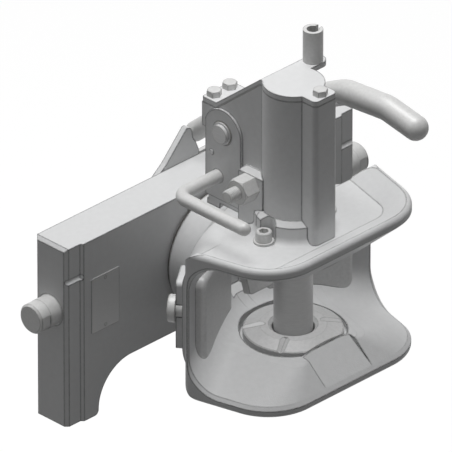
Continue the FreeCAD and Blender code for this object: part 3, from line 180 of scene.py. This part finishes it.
# %% [markdown]
# ## The finishes of this hitch
#
# The castings and the slide are painted grey. Pins, nuts and levers are bare or zinc plated, which
# shows as a slightly darker grey with a sharper gleam. A plain metal shader would mirror the white
# studio and lose that grey, so the plating is only partly metallic. The turned pieces get their
# noise drawn out along one axis, so that it reads as fine tool marks.

# %% Paints
paint_grey = (0.60, 0.603, 0.606)
cast_paint = make_finish("cast_paint", paint_grey, 0.50, mottle=0.025, mottle_size=0.006,
                         skin=0.40, skin_size=0.0016, edge=0.0022)
plate_paint = make_finish("plate_paint", paint_grey, 0.46, mottle=0.02, mottle_size=0.006,
                          skin=0.15, skin_size=0.0010, edge=0.0020)
sheet_paint = make_finish("sheet_paint", (0.61, 0.613, 0.616), 0.44, mottle=0.02, mottle_size=0.006,
                          skin=0.12, skin_size=0.0008, edge=0.0018)
print("paints:", cast_paint.name, plate_paint.name, sheet_paint.name)

# %% Steels and other metals
zinc = make_finish("zinc_plating", (0.56, 0.56, 0.555), 0.46, metallic=0.08, gloss=0.35, mottle=0.05,
                   mottle_size=0.003, skin=0.08, skin_size=0.0006, worn=0.6)
ground_steel = make_finish("ground_steel", (0.57, 0.57, 0.57), 0.40, metallic=0.10, gloss=0.4, mottle=0.05,
                           mottle_size=0.010, skin=0.12, skin_size=0.0009, stretch=(1, 1, 9), worn=0.6)
worn_steel = make_finish("worn_steel", (0.56, 0.56, 0.56), 0.44, metallic=0.10, gloss=0.4, mottle=0.06,
                         mottle_size=0.003, skin=0.2, skin_size=0.0014, worn=0.7)
spring_wire = make_finish("spring_wire", (0.46, 0.46, 0.465), 0.38, metallic=0.2, gloss=0.5, mottle=0.08,
                          mottle_size=0.004, skin=0.1, skin_size=0.0006, worn=0.0)
bronze = make_finish("bearing_bronze", (0.40, 0.375, 0.33), 0.40, metallic=0.3, mottle=0.06,
                     mottle_size=0.005, skin=0.05, skin_size=0.0008, worn=0.2)
label_metal = make_finish("label_plate", (0.60, 0.60, 0.60), 0.42, metallic=0.06, gloss=0.3, mottle=0.03,
                          mottle_size=0.004, skin=0.12, skin_size=0.0004, stretch=(1, 1, 12), worn=0.8)
lining = make_finish("friction_lining", (0.10, 0.095, 0.09), 0.8, mottle=0.25, mottle_size=0.002,
                     skin=0.5, skin_size=0.001, worn=0.0)
print(len(bpy.data.materials), "materials")

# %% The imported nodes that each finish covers
nodes_by_finish = (
    (cast_paint, ("jaw", "housing")),
    (plate_paint, ("slide_plate", "release_plate", "backing_plates")),
    (sheet_paint, ("cover_plate",)),
    (label_metal, ("type_plate",)),
    (bronze, ("swivel_bush", "shaft_bushes")),
    (lining, ("friction_ring",)),
    (ground_steel, ("swivel_shaft", "lever_shaft", "coupling_pin")),
    (worn_steel, ("wear_ring", "guide_bush", "guide_wing_right", "guide_wing_left", "crank",
                  "trigger_finger")),
    (spring_wire, ("lever_retainer", "lock_spring_left", "lock_spring_right", "stop_pin", "snap_ring",
                   "torsion_spring")),
    (zinc, ("plate_rivets", "lock_pin_left", "lock_pin_right", "lock_stud_left", "lock_stud_right",
            "release_pegs", "link_bar_left", "link_bar_right", "release_grip", "shaft_washer",
            "castle_nut", "split_pin", "wing_bolts", "lug_studs", "lug_nuts", "socket_screws",
            "screw_washers", "cover_bolts", "cable_tube", "hand_lever", "closing_handle")),
)
finished = 0
for finish, nodes in nodes_by_finish:
    for node in nodes:
        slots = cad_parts[node].data.materials
        slots.clear()
        slots.append(finish)
        finished += 1
print(finished, "of", len(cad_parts), "nodes have their finish")

# %% [markdown]
# ## Springs of real wire
#
# The solids stand for each spring by a plain sleeve. A real spring is one wire wound on a
# mandrel. A Screw modifier could wind it, but its ends would be cut off flat in the air. Here a
# curve with a round bevel follows the helix point by point, so the wire can run on from the last
# coil into a straight leg, and its ends are capped.

# %% Helpers for the line of a wire
def helix(radius, start, end, turns, first_angle, steps=28):
    """Points of a helix about the X axis from start to end, with the angle in turns from +Y to +Z."""
    count = round(turns * steps)
    points = []
    for step in range(count + 1):
        angle = 2 * math.pi * (first_angle + turns * step / count)
        x = start + (end - start) * step / count
        points.append(Vector((x, radius * math.cos(angle), radius * math.sin(angle))))
    return points


def rounded_corner(before, corner, after, run, steps=6):
    """Points of a bend that leaves both straights at a distance run from the corner."""
    first = corner + (before - corner).normalized() * run
    last = corner + (after - corner).normalized() * run
    points = []
    for step in range(steps + 1):
        t = step / steps
        points.append(first * (1 - t) ** 2 + corner * 2 * t * (1 - t) + last * t ** 2)
    return points


# %% Helper that draws a wire along its line
def wire_piece(name, points, radius, finish):
    """A round wire through the points: a curve with a bevel and closed ends, turned into a mesh."""
    curve = bpy.data.curves.new(name, "CURVE")
    curve.dimensions = "3D"
    curve.bevel_depth = radius
    curve.bevel_resolution = 4
    curve.use_fill_caps = True
    line = curve.splines.new("POLY")
    line.points.add(len(points) - 1)
    for point, place in zip(line.points, points):
        point.co = (*place, 1)
    line_object = bpy.data.objects.new(name + "_line", curve)
    mesh = bpy.data.meshes.new_from_object(line_object)
    bpy.data.objects.remove(line_object)
    mesh.shade_smooth()
    mesh.materials.clear()
    mesh.materials.append(finish)
    piece = bpy.data.objects.new(name, mesh)
    bpy.context.scene.collection.objects.link(piece)
    return piece


# %% [markdown]
# The torsion spring sits round the lever's shaft, and its long leg hooks into the hand lever. Its
# coils lie almost against each other, and the last one ends on top, where the leg leaves it
# straight towards the front. The hook at its end is bent by a short curve, as pliers would do it.

# %% Torsion spring
shaft_line = Vector((0, 0.073, 0.1472))
torsion_wire_radius = 0.002
torsion_coil_radius = 0.016
torsion_turns = 6.25
coil_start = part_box("torsion_spring")[0][0] + torsion_wire_radius
coil_end = 0.0521
hook = Vector((coil_end, 0.002, 0.176))
into_lever = Vector((0.066, -0.002, 0.177))
hook_bend = 0.005
coil = [shaft_line + point for point in helix(torsion_coil_radius, coil_start, coil_end, torsion_turns, 0.0)]
coil += rounded_corner(coil[-1], hook, into_lever, hook_bend) + [into_lever]
torsion_wire = wire_piece("torsion_wire", coil, torsion_wire_radius, spring_wire)
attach(torsion_wire, "hand_lever")
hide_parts("torsion_spring")
print("torsion spring wire has", len(coil), "points")

# %% [markdown]
# The two springs behind the lock pins are ordinary compression springs with their end coils closed
# up. They shorten when the release lever draws the pins in.

# %% Line of a compression spring
def compression_coil(low, high, radius, wire, open_turns=5):
    """Points of a compression spring with one closed turn at each end."""
    first = low + wire
    last = high - wire
    closed = 2.1 * wire
    return (helix(radius, first, first + closed, 1, 0) +
            helix(radius, first + closed, last - closed, open_turns, 0)[1:] +
            helix(radius, last - closed, last, 1, open_turns)[1:])


# %% Lock springs
lock_coil_radius = 0.013
lock_wire_radius = 0.0015
for side in ("left", "right"):
    node = "lock_spring_" + side
    low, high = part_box(node)
    middle = Vector((0, (low[1] + high[1]) / 2, (low[2] + high[2]) / 2))
    turns = compression_coil(low[0], high[0], lock_coil_radius, lock_wire_radius)
    spring = wire_piece("lock_coil_" + side, [middle + point for point in turns], lock_wire_radius,
                        spring_wire)
    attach(spring, "slide")
    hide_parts(node)
    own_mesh(spring)

# %% [markdown]
# ## Threads
#
# The ends of the two studs and of the swivel shaft carry threads. A Screw modifier makes one from
# a profile, but its open ends show. This helper builds the ridge itself: a row of root points and
# a row of crest points run round the stud, and the crest sinks into the root over the first and
# last turn, as a thread cut on a lathe runs out.

# %% Thread helper
crest_start = 0.42
crest_end = 0.58


def thread_piece(name, root, crest, pitch, start, end, steps=36):
    """A threaded sleeve about the X axis from start to end, closed at both ends."""
    turns = int((end - start) / pitch)
    mesh = bmesh.new()
    rows = []
    count = turns * steps
    for step in range(count + 1):
        angle = 2 * math.pi * step / steps
        fade = min(1, step / steps, (count - step) / steps)
        top = root + (crest - root) * fade
        x = start + pitch * step / steps
        row = []
        for radius, shift in ((root, 0), (top, pitch * crest_start), (top, pitch * crest_end)):
            row.append(mesh.verts.new((x + shift, radius * math.cos(angle), radius * math.sin(angle))))
        rows.append(row)
    for step in range(count):
        here, there = rows[step], rows[step + 1]
        mesh.faces.new((here[0], here[1], there[1], there[0]))
        mesh.faces.new((here[1], here[2], there[2], there[1]))
        if step + steps < len(rows) - 1:
            mesh.faces.new((here[2], rows[step + steps][0], rows[step + steps + 1][0], there[2]))
    open_edges = [edge for edge in mesh.edges if edge.is_boundary]
    bmesh.ops.holes_fill(mesh, edges=open_edges)
    bmesh.ops.recalc_face_normals(mesh, faces=mesh.faces)
    data = bpy.data.meshes.new(name)
    mesh.to_mesh(data)
    mesh.free()
    piece = bpy.data.objects.new(name, data)
    bpy.context.scene.collection.objects.link(piece)
    return piece


# %% Threads of the lug studs
stud_low, stud_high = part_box("lug_studs")
nut_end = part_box("lug_nuts")[1][0]
stud_middle = Vector((0, (stud_low[1] + stud_high[1]) / 2, (stud_low[2] + stud_high[2]) / 2))
stud_radius = (stud_high[2] - stud_low[2]) / 2
stud_pitch = 0.00175
for side, sign in (("right", 1), ("left", -1)):
    thread = thread_piece("stud_thread_" + side, stud_radius - 0.0004, stud_radius + 0.0003, stud_pitch,
                          nut_end - 0.002, stud_high[0] - 0.0012)
    turn = Matrix.Rotation(0 if sign > 0 else math.pi, 4, "Z")
    thread.data.transform(Matrix.Translation(stud_middle) @ turn)
    thread.data.materials.append(zinc)
    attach(thread, "jaw")
print("stud threads on a radius of", round(stud_radius * 1000, 2), "mm")

# %% Thread of the swivel shaft
shaft_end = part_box("swivel_shaft")[1][1]
castle_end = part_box("castle_nut")[1][1]
shaft_thread_radius = 0.024
shaft_pitch = 0.003
shaft_thread = thread_piece("shaft_thread", shaft_thread_radius - 0.0008, shaft_thread_radius + 0.0003,
                            shaft_pitch, castle_end - 0.006, shaft_end - 0.001)
shaft_thread.data.transform(Matrix.Rotation(math.pi / 2, 4, "Z"))
shaft_thread.data.materials.append(ground_steel)
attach(shaft_thread, "jaw")
print("shaft thread ends at", round(shaft_end, 4))

# %% [markdown]
# ## World
#
# A workshop drawing shows metal on plain white. A white world that lit the hitch as well would
# wash out its greys, so the world is two things at once: white to rays that show the background,
# and a weak even fill to all others. The Light Path node tells them apart.

# %% World
fill_strength = 0.20
world = bpy.data.worlds.new("plain_studio")
bpy.context.scene.world = world
world.use_nodes = True
sky = world.node_tree
fill = sky.nodes["Background"]
fill.inputs["Color"].default_value = (1, 1, 1, 1)
fill.inputs["Strength"].default_value = fill_strength
backdrop = add_node(sky, "ShaderNodeBackground", Color=(1, 1, 1, 1), Strength=1.0)


def seen_directly(tree):
    """A value that is 1 for rays that show the background: camera, mirror and glass rays."""
    path = tree.nodes.new("ShaderNodeLightPath")
    total = path.outputs["Is Camera Ray"]
    for name in ("Is Glossy Ray", "Is Transmission Ray"):
        larger = tree.nodes.new("ShaderNodeMath")
        larger.operation = "MAXIMUM"
        tree.links.new(total, larger.inputs[0])
        tree.links.new(path.outputs[name], larger.inputs[1])
        total = larger.outputs["Value"]
    return total


chooser = sky.nodes.new("ShaderNodeMixShader")
sky.links.new(seen_directly(sky), chooser.inputs["Fac"])
sky.links.new(fill.outputs["Background"], chooser.inputs[1])
sky.links.new(backdrop.outputs["Background"], chooser.inputs[2])
sky.links.new(chooser.outputs["Shader"], sky.nodes["World Output"].inputs["Surface"])
print("world fill", fill_strength)

# %% [markdown]
# ## Lamps
#
# The upper faces of the drawing are its brightest, and its mouth isn't darkened by the lip above.
# One soft lamp over the hitch gives the shadows, and a stronger one beside it casts none, so that
# the inside of the mouth stays light. A third lamp stands behind on the left, where the camera
# sees its reflection in faces that slope that way. It is switched off for diffuse light, so it
# makes nothing but the sheen.

# %% Lamps
heart = Vector((0, 0.05, 0.05))


def add_lamp(name, place, size, power, shadow=True):
    """A square soft lamp that looks at the middle of the hitch."""
    data = bpy.data.lights.new(name, "AREA")
    data.size = size
    data.energy = power
    data.use_shadow = shadow
    lamp = bpy.data.objects.new(name, data)
    bpy.context.scene.collection.objects.link(lamp)
    lamp.location = place
    lamp.rotation_euler = (Vector(place) - heart).to_track_quat("Z", "Y").to_euler()
    return lamp


add_lamp("top_lamp", place=(0.15, 0.45, 2.3), size=1.0, power=14)
add_lamp("even_lamp", place=(0.05, 0.35, 2.3), size=1.0, power=36, shadow=False)
sheen = add_lamp("sheen_lamp", place=heart + Vector((-1.2, 1.47, 1.47)), size=1.6, power=22)
sheen.visible_diffuse = False

# %% [markdown]
# ## Floor
#
# The hitch hangs in its ladder, so the floor lies below it and only takes a soft shadow. A white
# floor would throw light back onto the hitch from below. This one is dark grey to all light, and
# glows white for the rays that show the background, so it looks white and still keeps the shadow.

# %% Floor
floor_level = -0.35
floor_half = 12.0
floor_grey = 0.15
floor_glow = 0.88
floor_mesh = bpy.data.meshes.new("floor")
floor_mesh.from_pydata(
    [(-floor_half, -floor_half, floor_level), (floor_half, -floor_half, floor_level),
     (floor_half, floor_half, floor_level), (-floor_half, floor_half, floor_level)], [], [(0, 1, 2, 3)])
floor = bpy.data.objects.new("floor", floor_mesh)
bpy.context.scene.collection.objects.link(floor)
print("floor at", floor_level)

# %% White paint of the floor
floor_paint = bpy.data.materials.new("white_floor")
floor_paint.use_nodes = True
ground = floor_paint.node_tree
matt = ground.nodes["Principled BSDF"]
matt.inputs["Base Color"].default_value = (floor_grey, floor_grey, floor_grey, 1)
matt.inputs["Roughness"].default_value = 1.0
matt.inputs["Specular IOR Level"].default_value = 0.0
glow = add_node(ground, "ShaderNodeEmission", Strength=floor_glow)
dark = add_node(ground, "ShaderNodeEmission", Strength=0.0)
pick = ground.nodes.new("ShaderNodeMixShader")
both = ground.nodes.new("ShaderNodeAddShader")
ground.links.new(seen_directly(ground), pick.inputs["Fac"])
ground.links.new(dark.outputs["Emission"], pick.inputs[1])
ground.links.new(glow.outputs["Emission"], pick.inputs[2])
ground.links.new(matt.outputs["BSDF"], both.inputs[0])
ground.links.new(pick.outputs["Shader"], both.inputs[1])
ground.links.new(both.outputs["Shader"], ground.nodes["Material Output"].inputs["Surface"])
floor_mesh.materials.append(floor_paint)
print("floor glows at", floor_glow)

# %% [markdown]
# ## Camera
#
# The picture is drawn without perspective, so parallel edges stay parallel. A very long lens from
# far away gives nearly the same, and it still lets the view be turned like that of any camera.

# %% Camera
lens = 1500.0
sensor_width = 36.0
frame_width = 0.4307
centre = Vector((-0.0252, 0.0655, 0.0494))
azimuth = math.radians(-45)
elevation = math.radians(30)
back = Vector((math.sin(azimuth) * math.cos(elevation), -math.cos(azimuth) * math.cos(elevation),
               math.sin(elevation)))
camera_data = bpy.data.cameras.new("camera")
camera_data.lens = lens
camera_data.sensor_width = sensor_width
camera_data.clip_start = 0.5
camera_data.clip_end = 60.0
camera = bpy.data.objects.new("camera", camera_data)
bpy.context.scene.collection.objects.link(camera)
camera.location = centre + back * (lens * frame_width / sensor_width)
camera.rotation_euler = back.to_track_quat("Z", "Y").to_euler()
bpy.context.scene.camera = camera
bpy.context.scene.view_settings.view_transform = "Standard"
print("camera at", [round(v, 3) for v in camera.location])
